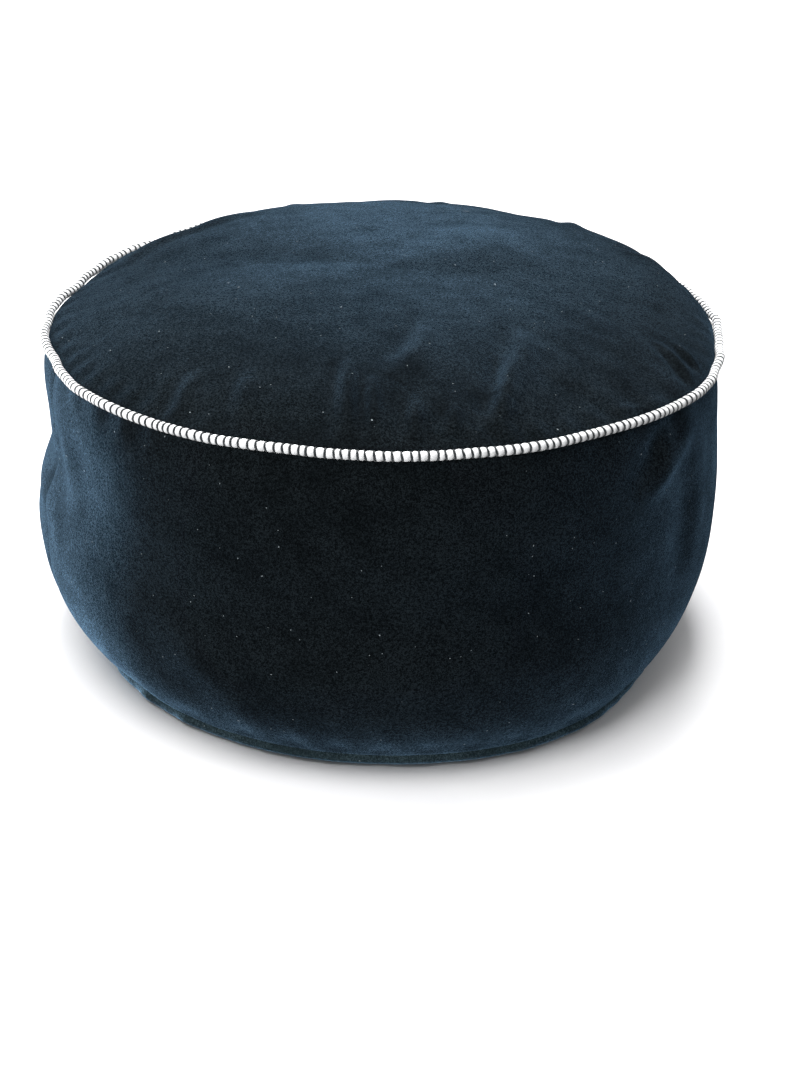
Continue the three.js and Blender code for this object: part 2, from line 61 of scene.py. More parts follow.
SEED = 7
AROUND = 280                 # points round every turned cloth edge
MM = 0.001
SEAM_ANGLE = 18              # degrees from +X to one upright seam; the other lies opposite


class Side(Enum):
    """Which way round the cushion a piece lies."""

    FRONT = "front"
    BACK = "back"


# ---- Shape ------------------------------------------------------------------------------
def hermite(places: Array, values: Array, at: Array) -> Array:
    """Run a smooth curve through a few values.

    Args:
        places: Increasing positions of the values.
        values: The values, one for each place.
        at: Positions to read.

    Returns:
        The curve's value at each position.
    """
    slopes = np.gradient(values, places)
    i = np.clip(np.searchsorted(places, at) - 1, 0, len(places) - 2)
    width = places[i + 1] - places[i]
    t = np.clip((at - places[i]) / width, 0, 1)
    a = values[i] * (2 * t**3 - 3 * t**2 + 1) + values[i + 1] * (3 * t**2 - 2 * t**3)
    b = slopes[i] * (t**3 - 2 * t**2 + t) + slopes[i + 1] * (t**3 - t**2)
    return a + b * width


def bump(distance: Array, width: float) -> Array:
    """Smooth hill of height 1 that fades over a width."""
    return np.exp(-((distance / width) ** 2))


def turn_from(angle: Array, middle: float) -> Array:
    """Signed angle in degrees from a middle, between -180 and 180."""
    return (angle - middle + 180) % 360 - 180


# Places where the hand-sewn top seam strays from a true round: middle and width in degrees,
# and reach outwards in millimetres.
RIM_BENDS = (
    (138, 5, -2.6), (148, 6, 2.2), (163, 7, -2.2), (200, 8, -3.4), (213, 4, 0.8), (240, 7, 1.2),
    (256, 7, -2.4), (271, 6, 0.8), (285, 8, -1.2), (305, 8, -3.6), (331, 11, 4.2), (352, 10, -1.2),
)


@dataclass(frozen=True)
class DrumShape:
    """Filled shape of the cushion, in metres, with angles in degrees from +X."""

    rim_radius: float = 0.266
    rim_height: float = 0.269
    crown_rise: float = 0.031
    crown_power: float = 2.4
    roll_rise: float = 0.0135
    roll_power: float = 13.0
    base_seam_radius: float = 0.244
    base_seam_height: float = 0.0112
    floor_radius: float = 0.226
    belly: float = 0.2696    # radius that the side's profiles are shares of
    left_middle: float = 184.0
    right_middle: float = 352.0

    def rim_wave(self, angle: Array) -> Array:
        """Rise and fall of the top seam round the cushion."""
        a = np.radians(angle)
        wave = 0.0022 * np.sin(a) - 0.0048 * np.cos(2 * a) + 0.0016 * np.sin(2 * a)
        return wave - 0.0075 * bump(turn_from(angle, 72), 48) - 0.0055 * bump(turn_from(angle, 34), 26)

    def rim(self, angle: Array) -> tuple[Array, Array]:
        """Top seam of the cover.

        Args:
            angle: Degrees from +X.

        Returns:
            Radius and height.
        """
        a = np.radians(angle)
        behind = bump(turn_from(angle, 70), 62)
        wobble = behind * (0.0012 * np.sin(9 * a + 1) + 0.0008 * np.sin(17 * a))
        for middle, width, reach in RIM_BENDS:
            wobble = wobble + reach * MM * bump(turn_from(angle, middle), width)
        return self.rim_radius + wobble, self.rim_height + self.rim_wave(angle) + 0.15 * wobble

    def side(self, angle: Array, down: Array) -> tuple[Array, Array]:
        """Side of the cover.

        Args:
            angle: Degrees from +X.
            down: Share of the way from the top seam to the base seam.

        Returns:
            Radius and height.
        """
        places = np.array([0, 0.05, 0.25, 0.5, 0.75, 0.9, 1])
        mean = self.belly * np.array([0.9867, 1.003, 1.020, 1.008, 1.006, 0.964, 0.903])
        left_places = np.array([0, 0.05, 0.23, 0.34, 0.45, 0.57, 0.68, 0.79, 0.9, 1])
        left = self.belly * np.array([0, 0, -0.019, -0.018, 0.026, 0.050, 0.040, 0.032, 0.018, -0.010])
        right = self.belly * np.array([0, -0.008, -0.008, 0.018, -0.002, -0.012, -0.018])
        rim_radius, rim_height = self.rim(angle)
        on_left = bump(turn_from(angle, self.left_middle), 34)
        on_right = bump(turn_from(angle, self.right_middle), 34)
        radius = hermite(places, mean, down)
        radius = radius + on_left * hermite(left_places, left, down)
        radius = radius + on_right * hermite(places, right, down)
        radius = radius + (rim_radius - self.rim_radius) * (1 - down) ** 6
        radius = radius + 0.0075 * bump(turn_from(angle, 303), 24) * down**5
        height = rim_height + (self.base_seam_height - rim_height) * down
        return radius, height

    def crown(self, angle: Array, share: Array) -> Array:
        """Top panel of the cover.

        Args:
            angle: Degrees from +X.
            share: Share of the rim's radius.

        Returns:
            Height.
        """
        _, height = self.rim(angle)
        height = self.rim_height + (height - self.rim_height) * share**2
        lean = 0.0062 * share * (1 - share) * 4 * np.cos(np.radians(angle - 156))
        flatter = 0.62 * bump(turn_from(angle, 166), 24)
        fuller = 0.80 * bump(turn_from(angle, 30), 34)
        roll = self.roll_rise * (1 - flatter + fuller)
        roll_up = roll * (1 - share ** (self.roll_power + 15 * bump(turn_from(angle, 28), 32)))
        fade = np.clip(share * 3, 0, 1)
        roll_up = fade * roll_up + (1 - fade) * self.roll_rise
        return height + lean + self.crown_rise * (1 - share**self.crown_power) + roll_up


@dataclass(frozen=True)
class Fold:
    """One soft ridge in the cloth, on a surface measured in angle and share."""

    start: tuple[float, float]
    end: tuple[float, float]
    width: float
    rise: float

    def lift(self, angle: Array, share: Array, radius: float, length: float) -> Array:
        """Height of the ridge over each point.

        Args:
            angle: Degrees from +X.
            share: Place along the other direction, 0 to 1.
            radius: Radius that turns degrees into metres.
            length: Metres that a share of 1 spans.

        Returns:
            Metres to move out.
        """
        u = np.radians(turn_from(angle, self.start[0])) * radius
        v = (share - self.start[1]) * length
        du = math.radians(self.end[0] - self.start[0]) * radius
        dv = (self.end[1] - self.start[1]) * length
        span = math.hypot(du, dv)
        along = (u * du + v * dv) / span
        across = (v * du - u * dv) / span
        t = np.clip(along / span, 0, 1)
        taper = np.sin(np.pi * np.clip(0.08 + 0.92 * t, 0, 1)) ** 0.7
        past = np.where((along < 0) | (along > span), np.minimum(np.abs(along), np.abs(along - span)), 0)
        ridge = bump(across, self.width) - 0.55 * bump(across - 1.7 * self.width, self.width)
        return self.rise * ridge * taper * bump(past, self.width)


# ---- Mesh tools -------------------------------------------------------------------------
def new_piece(name: str, points: Array, faces: list, finish: Material) -> Piece:
    """Make a smooth-shaded object at the origin.

    Args:
        name: Its name.
        points: Its points.
        faces: Its faces, as indices of points.
        finish: Its material.

    Returns:
        The object.
    """
    mesh = bpy.data.meshes.new(name)
    mesh.from_pydata([tuple(p) for p in points], [], faces)
    mesh.validate()
    mesh.shade_smooth()
    mesh.materials.append(finish)
    piece = bpy.data.objects.new(name, mesh)
    bpy.context.scene.collection.objects.link(piece)
    return piece


def baked(piece: Piece) -> Piece:
    """Apply a piece's modifiers and leave plain mesh."""
    graph = bpy.context.evaluated_depsgraph_get()
    mesh = bpy.data.meshes.new_from_object(piece.evaluated_get(graph))
    piece.modifiers.clear()
    piece.data = mesh
    return piece


def read_points(piece: Piece) -> Array:
    """Points of a piece's mesh, as an array."""
    points = np.empty(len(piece.data.vertices) * 3)
    piece.data.vertices.foreach_get("co", points)
    return points.reshape(-1, 3)


def refined(piece: Piece, levels: int) -> Piece:
    """Subdivide a piece and leave plain mesh.

    Args:
        piece: The piece, which is changed.
        levels: Times to subdivide it.

    Returns:
        The same piece.
    """
    smooth = piece.modifiers.new("refine", "SUBSURF")
    smooth.levels = levels
    smooth.render_levels = levels
    return baked(piece)


def grid_faces(rows: int, columns: int, closed: bool, start: int = 0) -> list:
    """Faces of a grid of points laid row by row.

    Args:
        rows: Rows of points.
        columns: Points in each row.
        closed: Whether each row joins its own start.
        start: Index of the first point.

    Returns:
        Four-sided faces.
    """
    faces = []
    last = columns if closed else columns - 1
    for r in range(rows - 1):
        for c in range(last):
            n = (c + 1) % columns
            a, b = start + r * columns, start + (r + 1) * columns
            faces.append((a + c, b + c, b + n, a + n))
    return faces


def tube_faces(rows: int, columns: int) -> list:
    """Faces of a tube that closes both round itself and along its length.

    Args:
        rows: Rings of points.
        columns: Points in each ring.

    Returns:
        Four-sided faces.
    """
    last = (rows - 1) * columns
    closing = [(last + c, c, (c + 1) % columns, last + (c + 1) % columns) for c in range(columns)]
    return grid_faces(rows, columns, True) + closing


def ring_disc(rings: int, around: int) -> tuple[Array, Array, list]:
    """Evenly sized triangles over a round.

    Args:
        rings: Rings from the middle to the edge.
        around: Points on the outermost ring, which come last.

    Returns:
        Angle in degrees and share of the radius for each point, and the faces.
    """
    angles, shares, starts, counts = [0.0], [0.0], [0], [1]
    for k in range(1, rings + 1):
        count = around if k == rings else max(6, round(around * k / rings))
        shift = 0 if k == rings else 0.5 * (k % 2) * 360 / count
        starts.append(len(angles))
        counts.append(count)
        angles.extend(shift + 360 * i / count for i in range(count))
        shares.extend([k / rings] * count)
    faces = [(0, 1 + i, 1 + (i + 1) % counts[1]) for i in range(counts[1])]
    for k in range(1, rings):
        a, na, b, nb = starts[k], counts[k], starts[k + 1], counts[k + 1]
        i = j = 0
        while i < na or j < nb:
            next_a = angles[a] + 360 * (i + 1) / na
            next_b = angles[b] + 360 * (j + 1) / nb
            if j < nb and (i >= na or next_b <= next_a):
                faces.append((a + i % na, b + j % nb, b + (j + 1) % nb))
                j += 1
            else:
                faces.append((a + i % na, b + j % nb, a + (i + 1) % na))
                i += 1
    return np.array(angles), np.array(shares), faces


def averaged(values: Array, edges: Array, rounds: int) -> Array:
    """Smooth a value on a mesh by averaging it over neighbouring points.

    Args:
        values: A row for each point.
        edges: Pairs of neighbouring points.
        rounds: Times to average.

    Returns:
        The smoothed rows.
    """
    count = np.zeros(len(values))
    np.add.at(count, edges.ravel(), 1)
    for _ in range(rounds):
        total = np.zeros_like(values)
        np.add.at(total, edges[:, 0], values[edges[:, 1]])
        np.add.at(total, edges[:, 1], values[edges[:, 0]])
        values = 0.5 * values + 0.5 * total / count[:, None]
    return values


def polar(angle: Array, radius: Array, height: Array) -> Array:
    """Points from angle, radius and height."""
    a = np.radians(angle)
    return np.stack([radius * np.cos(a), radius * np.sin(a), height], axis=1)


def declare(piece: Piece, slot: str, *nodes: str, body: str = "cushion") -> None:
    """Say what a piece rides on and hide the CAD nodes that it stands for.

    Args:
        piece: The piece.
        slot: Not used.
        *nodes: CAD nodes that the piece stands for.
        body: Body that it moves with.
    """
    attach(piece, body)
    if nodes:
        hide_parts(*nodes)
    LOG.info("%s: %d faces", piece.name, len(piece.data.polygons))


# ---- Materials --------------------------------------------------------------------------
class Finish:
    """A procedural material that is built up node by node."""

    def __init__(self, name: str) -> None:
        self.material = bpy.data.materials.new(name)
        self.material.use_nodes = True
        self.tree = self.material.node_tree
        self.shader = self.tree.nodes["Principled BSDF"]
        self.place = self.tree.nodes.new("ShaderNodeTexCoord").outputs["Object"]

    def set(self, **values: object) -> None:
        """Set constant values on the shader, by socket name with _ for spaces."""
        for name, value in values.items():
            self.shader.inputs[name.replace("_", " ")].default_value = value

    def link(self, source: Socket, socket: str) -> None:
        """Feed a shader socket."""
        self.tree.links.new(source, self.shader.inputs[socket])

    def node(self, kind: str, inputs: dict | None = None, **settings: object) -> bpy.types.Node:
        """Add a node.

        Args:
            kind: Blender's node type.
            inputs: Value or source socket for each input, by name or number.
            **settings: The node's own properties.

        Returns:
            The node.
        """
        node = self.tree.nodes.new(kind)
        for name, value in settings.items():
            setattr(node, name, value)
        for name, value in (inputs or {}).items():
            if isinstance(value, Socket):
                self.tree.links.new(value, node.inputs[name])
            else:
                node.inputs[name].default_value = value
        return node

    def noise(self, scale: float, detail: float = 2.0, stretch: tuple = (1, 1, 1)) -> Socket:
        """Noise in object space, about 0.5."""
        mapped = self.node("ShaderNodeMapping", {"Vector": self.place, "Scale": stretch})
        inputs = {"Vector": mapped.outputs[0], "Scale": scale, "Detail": detail}
        return self.node("ShaderNodeTexNoise", inputs).outputs[0]

    def ramp(self, source: Socket, low: float, high: float, start: float, end: float) -> Socket:
        """Map one range onto another, clamped."""
        inputs = {"Value": source, "From Min": low, "From Max": high, "To Min": start, "To Max": end}
        return self.node("ShaderNodeMapRange", inputs).outputs[0]

    def blend(self, share: Socket, first: object, second: object) -> Socket:
        """Mix two colours, or a colour over another socket.

        Args:
            share: How much of the second shows.
            first: Colour or socket.
            second: Colour or socket.

        Returns:
            The mixed colour.
        """
        mix = self.node("ShaderNodeMix", data_type="RGBA")
        self.tree.links.new(share, mix.inputs[0])
        for socket, value in ((mix.inputs[6], first), (mix.inputs[7], second)):
            if isinstance(value, Socket):
                self.tree.links.new(value, socket)
            else:
                socket.default_value = (*value, 1)
        return mix.outputs[2]

    def colour(self, source: Socket, low: float, high: float, first: tuple, second: tuple) -> None:
        """Colour the shader from one colour to another as a value rises."""
        self.link(self.blend(self.ramp(source, low, high, 0, 1), first, second), "Base Color")

    def math(self, operation: str, a: object, b: object = 0.0) -> Socket:
        """Arithmetic on two values or sockets."""
        return self.node("ShaderNodeMath", {0: a, 1: b}, operation=operation).outputs[0]

    def relief(self, height: Socket, depth: float, strength: float = 1.0) -> None:
        """Add bump of a depth in metres."""
        inputs = {"Height": height, "Distance": depth, "Strength": strength}
        self.link(self.node("ShaderNodeBump", inputs).outputs[0], "Normal")


@dataclass(frozen=True)
class VelvetLook:
    """Colours and amounts of a velvet."""

    deep: tuple = (0.0020, 0.0026, 0.0030)
    light: tuple = (0.0105, 0.0140, 0.0160)
    sheen: float = 0.27
    sheen_tint: tuple = (0.36, 0.65, 0.98, 1)
    sheen_roughness: float = 0.38
    # Whether to paint a highlight: sheen stronger over the top's middle and weaker towards its rim.
    painted_top_highlight: bool = False


# Kinds of lint: cells in a metre, stretch, reach in a cell and how rare they are.
LINT = (
    (125.0, (1, 1, 1), 0.065, 0.62),
    (46.0, (0.22, 1.0, 1.5), 0.036, 0.74),
    (40.0, (1.3, 0.3, 2.2), 0.036, 0.76),
)


def lint_mask(f: Finish) -> Socket:
    """Sparse specks and short hairs that cling to the pile.

    Args:
        f: The finish to add them to.

    Returns:
        1 on the lint and 0 elsewhere.
    """
    total = None
    for scale, stretch, reach, rarity in LINT:
        warp = f.node("ShaderNodeTexNoise", {"Vector": f.place, "Scale": 60.0})
        bent = f.node("ShaderNodeMix", {0: 0.012}, data_type="VECTOR")
        f.tree.links.new(f.place, bent.inputs[4])
        f.tree.links.new(warp.outputs["Color"], bent.inputs[5])
        mapped = f.node("ShaderNodeMapping", {"Vector": bent.outputs[1], "Scale": stretch})
        cells = f.node("ShaderNodeTexVoronoi", {"Vector": mapped.outputs[0], "Scale": scale})
        pick = f.node("ShaderNodeSeparateColor", {"Color": cells.outputs["Color"]}).outputs[0]
        chosen = f.math("GREATER_THAN", pick, rarity)
        speck = f.math("MULTIPLY", f.ramp(cells.outputs["Distance"], reach * 0.5, reach, 1, 0), chosen)
        total = speck if total is None else f.math("MAXIMUM", total, speck)
    return total


def velvet(name: str, look: VelvetLook) -> Material:
    """Short dense pile: dark face on, lighter and bluer at a low angle, with brushed patches.

    Args:
        name: Name of the material.
        look: Its colours and amounts.

    Returns:
        The material.
    """
    f = Finish(name)
    patches = f.noise(9, 3)
    cloud = f.noise(42, 4)
    tufts = f.noise(520, 2)
    nap = f.noise(1150, 2)
    pile = f.noise(2300, 1)
    tone = f.math("ADD", f.math("MULTIPLY", patches, 0.5), f.math("MULTIPLY", cloud, 0.5))
    grain = f.math("ADD", f.math("MULTIPLY", nap, 0.62), f.math("MULTIPLY", tufts, 0.38))
    fleck = f.ramp(grain, 0.40, 0.60, 0.0, 1.0)
    shade = f.ramp(tone, 0.36, 0.64, 0.55, 1.45)
    colour = f.blend(f.math("MULTIPLY", f.math("POWER", fleck, 1.6), shade), look.deep, look.light)
    f.link(f.blend(lint_mask(f), colour, (0.26, 0.30, 0.32)), "Base Color")
    f.set(Roughness=0.92, Specular_IOR_Level=0.0)
    f.set(Sheen_Roughness=look.sheen_roughness, Sheen_Tint=look.sheen_tint)
    weight = f.math("MULTIPLY", f.ramp(tone, 0.36, 0.64, 0.70, 1.30), f.ramp(grain, 0.40, 0.60, 0.42, 1.58))
    # Painted highlight: sheen weight raised over the top panel's middle and cut towards its rim.
    if look.painted_top_highlight:
        inputs = {"Vector": f.place, "Location": (-0.02, -0.045, 0), "Scale": (1, 0.75, 0)}
        about = f.node("ShaderNodeMapping", inputs)
        away = f.node("ShaderNodeVectorMath", {"Vector": about.outputs[0]}, operation="LENGTH")
        weight = f.math("MULTIPLY", weight, f.ramp(away.outputs["Value"], 0.05, 0.21, 1.24, 0.40))
    f.link(f.math("MULTIPLY", weight, look.sheen), "Sheen Weight")
    height = f.math("ADD", f.math("MULTIPLY", nap, 0.8), f.math("MULTIPLY", pile, 0.4))
    height = f.math("ADD", height, f.math("MULTIPLY", cloud, 2.4))
    f.relief(height, 0.0007, 0.6)
    return f.material


def cotton(name: str, colour: tuple, fibre: float, depth: float, sheen: float = 0.25) -> Material:
    """Matte spun cotton with fine fibres.

    Args:
        name: Name of the material.
        colour: Its lighter colour.
        fibre: Scale of the fibres.
        depth: Depth of the fibres in metres.
        sheen: Weight of the sheen.

    Returns:
        The material.
    """
    f = Finish(name)
    fibres = f.noise(fibre, 4)
    soft = f.noise(fibre / 14, 2)
    shade = tuple(c * 0.84 for c in colour)
    f.colour(f.math("MULTIPLY", f.math("ADD", fibres, soft), 0.5), 0.4, 0.6, shade, colour)
    f.set(Roughness=0.88, Sheen_Weight=sheen, Sheen_Roughness=0.5, Specular_IOR_Level=0.25)
    f.relief(fibres, depth)
    return f.material


def thread_finish(name: str, colour: tuple) -> Material:
    """Twisted thread, slightly glossy, with ply lines."""
    f = Finish(name)
    ply = f.noise(1500, 1, (1, 1, 2.5))
    f.colour(ply, 0.38, 0.62, tuple(c * 0.45 for c in colour), colour)
    f.set(Roughness=0.6, Sheen_Weight=0.15, Specular_IOR_Level=0.3)
    f.relief(ply, 0.0003, 0.7)
    return f.material


def herringbone(name: str, colour: tuple) -> Material:
    """Woven tape whose ribs turn back and forth across its width."""
    f = Finish(name)
    axes = f.node("ShaderNodeSeparateXYZ", {"Vector": f.place})
    zigzag = f.math("PINGPONG", axes.outputs[1], 0.0016)
    rib = f.math("SINE", f.math("MULTIPLY", f.math("ADD", axes.outputs[0], zigzag), 6800.0))
    share = f.ramp(rib, -1, 1, 0, 1)
    f.link(f.blend(share, tuple(c * 0.5 for c in colour), colour), "Base Color")
    f.set(Roughness=0.8, Sheen_Weight=0.2, Specular_IOR_Level=0.25)
    f.relief(share, 0.0002, 0.8)
    return f.material


def burnished_metal(name: str) -> Material:
    """Dark die-cast metal, worn brighter in patches, with rounded edges."""
    f = Finish(name)
    wear = f.noise(160, 4)
    scratch = f.noise(500, 2, (0.15, 4, 4))
    f.colour(wear, 0.45, 0.7, (0.13, 0.13, 0.14), (0.36, 0.35, 0.34))
    f.set(Metallic=1.0)
    f.link(f.ramp(scratch, 0.3, 0.7, 0.24, 0.44), "Roughness")
    edge = f.node("ShaderNodeBevel", {"Radius": 0.00035}, samples=4)
    relief = f.node("ShaderNodeBump", {"Height": scratch, "Distance": 0.00005, "Normal": edge.outputs[0]})
    f.link(relief.outputs[0], "Normal")
    return f.material


def nylon(name: str) -> Material:
    """Dark satin nylon."""
    f = Finish(name)
    f.colour(f.noise(260, 2), 0.4, 0.6, (0.008, 0.02, 0.025), (0.016, 0.038, 0.046))
    f.set(Roughness=0.4, Specular_IOR_Level=0.45)
    return f.material


def paper_floor(name: str) -> Material:
    """Seamless white studio sweep."""
    f = Finish(name)
    f.colour(f.noise(9, 2), 0.4, 0.6, (0.90, 0.90, 0.915), (0.92, 0.92, 0.93))
    f.set(Roughness=0.9, Specular_IOR_Level=0.0)
    return f.material


@dataclass(frozen=True)
class Palette:
    """Every finish of the cushion."""

    velvet: Material
    top_velvet: Material
    base_velvet: Material
    cord: Material
    lip: Material
    thread: Material
    tape: Material
    coil: Material
    metal: Material
    lining: Material
    fibre: Material

    @classmethod
    def make(cls) -> "Palette":
        """Build all the materials."""
        return cls(
            velvet=velvet("velvet", VelvetLook()),
            # The top's velvet carries the painted highlight over its middle.
            top_velvet=velvet("velvet_top", VelvetLook(painted_top_highlight=True)),
            # Painted light: the base's velvet is the cover's cloth painted several times lighter and with
            # more sheen, standing in for the light that would bounce up off the floor.
            base_velvet=velvet("base_velvet", VelvetLook(
                deep=(0.0080, 0.0140, 0.0165), light=(0.0320, 0.0500, 0.0580), sheen=0.42)),
            cord=cotton("white_cord", (0.82, 0.83, 0.84), 900, 0.00030),
            lip=cotton("lip_tape", (0.78, 0.77, 0.73), 1200, 0.0002),
            thread=thread_finish("binding_thread", (0.0045, 0.0095, 0.0125)),
            tape=herringbone("zip_tape", (0.012, 0.03, 0.038)),
            coil=nylon("zip_coil"),
            metal=burnished_metal("zip_metal"),
            lining=cotton("bag_cloth", (0.8, 0.79, 0.75), 1400, 0.0002),
            fibre=cotton("fibre", (0.9, 0.89, 0.86), 260, 0.002),
        )


# ---- Repeats ----------------------------------------------------------------------------
class Repeater:
    """Geometry Nodes that stand one small shape on every point of a path."""

    def __init__(self) -> None:
        tree = bpy.data.node_groups.new("repeat_on_points", "GeometryNodeTree")
        kinds = {"Geometry": "Geometry", "Shape": "Object", "Unevenness": "Float", "Seed": "Int",
                 "Finish": "Material"}
        for name, kind in kinds.items():
            tree.interface.new_socket(name, in_out="INPUT", socket_type=f"NodeSocket{kind}")
        tree.interface.new_socket("Geometry", in_out="OUTPUT", socket_type="NodeSocketGeometry")
        add = tree.nodes.new
        source, sink = add("NodeGroupInput"), add("NodeGroupOutput")
        shape, place = add("GeometryNodeObjectInfo"), add("GeometryNodeInstanceOnPoints")
        turn, size = add("GeometryNodeInputNamedAttribute"), add("FunctionNodeRandomValue")
        turn.data_type = "FLOAT_VECTOR"
        turn.inputs["Name"].default_value = "turn"
        low, high = add("ShaderNodeMath"), add("ShaderNodeMath")
        low.operation, high.operation = "SUBTRACT", "ADD"
        low.inputs[0].default_value = high.inputs[0].default_value = 1.0
        realize, paint = add("GeometryNodeRealizeInstances"), add("GeometryNodeSetMaterial")
        for start, end in (
            (source.outputs["Shape"], shape.inputs["Object"]),
            (source.outputs["Unevenness"], low.inputs[1]),
            (source.outputs["Unevenness"], high.inputs[1]),
            (low.outputs[0], size.inputs[2]),
            (high.outputs[0], size.inputs[3]),
            (source.outputs["Seed"], size.inputs["Seed"]),
            (source.outputs["Geometry"], place.inputs["Points"]),
            (shape.outputs["Geometry"], place.inputs["Instance"]),
            (turn.outputs[0], place.inputs["Rotation"]),
            (size.outputs[1], place.inputs["Scale"]),
            (place.outputs[0], realize.inputs[0]),
            (realize.outputs[0], paint.inputs["Geometry"]),
            (source.outputs["Finish"], paint.inputs["Material"]),
            (paint.outputs[0], sink.inputs[0]),
        ):
            tree.links.new(start, end)
        self.tree = tree

    def along(self, name: str, points: Array, turns: Array, shape: Piece,
              finish: Material, unevenness: float) -> Piece:
        """Repeat a shape on points and leave plain mesh.

        Args:
            name: Name of the new piece.
            points: Place of each copy.
            turns: Euler angles of each copy, in radians.
            shape: Object to repeat, which is removed afterwards.
            finish: Material of the copies.
            unevenness: Largest change of size between copies, as a share.

        Returns:
            The piece.
        """
        piece = new_piece(name, points, [], finish)
        piece.data.attributes.new("turn", "FLOAT_VECTOR", "POINT").data.foreach_set("vector", turns.ravel())
        nodes = piece.modifiers.new("repeat", "NODES")
        nodes.node_group = self.tree
        values = {"Shape": shape, "Unevenness": unevenness, "Seed": SEED, "Finish": finish}
        for item in self.tree.interface.items_tree:
            if item.in_out == "INPUT" and item.name in values:
                nodes[item.identifier] = values[item.name]
        piece.update_tag()
        bpy.context.view_layer.update()
        baked(piece)
        piece.data.shade_smooth()
        bpy.data.objects.remove(shape)
        return piece


# ---- Cover ------------------------------------------------------------------------------
TOP_FOLDS = (
    Fold((313, 0.58), (293, 0.84), 0.012, 0.0062),
    Fold((293, 0.82), (288, 0.96), 0.008, 0.0040),
    Fold((301, 0.66), (290, 0.91), 0.008, 0.0048),
    Fold((287, 0.45), (272, 0.72), 0.015, 0.0044),
    Fold((262, 0.68), (265, 0.96), 0.008, 0.0052),
    Fold((268, 0.74), (269, 0.96), 0.006, 0.0046),
    Fold((276, 0.82), (275, 0.96), 0.006, 0.0040),
    Fold((283, 0.85), (281, 0.95), 0.006, 0.0034),
    Fold((243, 0.79), (248, 0.96), 0.008, 0.0036),
    Fold((233, 0.84), (236, 0.97), 0.007, 0.0026),
    Fold((337, 0.85), (330, 0.99), 0.0045, 0.0033),
    Fold((340, 0.90), (335, 0.99), 0.004, 0.0027),
    Fold((311, 0.96), (321, 0.985), 0.004, 0.0014),
    Fold((157, 0.91), (122, 0.77), 0.011, 0.0034),
    Fold((95, 0.90), (60, 0.88), 0.011, 0.0022),
    Fold((20, 0.97), (24, 0.80), 0.008, 0.0022),
    Fold((48, 0.97), (44, 0.82), 0.008, 0.0020),
    Fold((75, 0.98), (79, 0.84), 0.007, 0.0018),
    Fold((112, 0.98), (110, 0.84), 0.008, 0.0020),
)
SIDE_FOLDS = (
    Fold((327, 0.08), (313, 0.25), 0.012, 0.0056),
    Fold((321, 0.05), (318, 0.17), 0.008, 0.0022),
    Fold((331, 0.16), (333, 0.66), 0.015, 0.0034),
    Fold((300, 0.66), (316, 0.94), 0.018, 0.0022),
    Fold((205, 0.05), (212, 0.42), 0.016, 0.0028),
    Fold((186, 0.40), (206, 0.50), 0.016, 0.0032),
    Fold((236, 0.60), (250, 0.90), 0.020, 0.0022),
    Fold((262, 0.06), (268, 0.34), 0.016, 0.0014),
    Fold((20, 0.10), (34, 0.70), 0.018, 0.0036),
    Fold((76, 0.08), (66, 0.55), 0.018, 0.0034),
    Fold((118, 0.45), (128, 0.90), 0.020, 0.0034),
    Fold((152, 0.08), (146, 0.60), 0.018, 0.0034),
)


# Rings of the base's rolled edge: reach past the seam and height in millimetres, and share of
# the pucker.
BASE_ROLL = (
    (-3.2, 13.4, 0), (-1.0, 11.4, 0.3), (0.7, 10.2, 0.7), (1.3, 8.0, 1),
    (1.1, 5.6, 1.1), (-0.4, 3.4, 1.0), (-4.5, 1.6, 0.6), (-10.5, 0.7, 0.3),
)
# Settings of the cloth simulation, by Blender's names for them.
CLOTH = {
    "quality": 5, "mass": 0.3, "tension_stiffness": 22, "compression_stiffness": 22,
    "shear_stiffness": 8, "bending_stiffness": 0.6, "vertex_group_mass": "sewn",
    "vertex_group_shrink": "spare", "shrink_min": -0.004, "shrink_max": -0.032,
    "use_pressure": True, "uniform_pressure_force": 1.6,
}


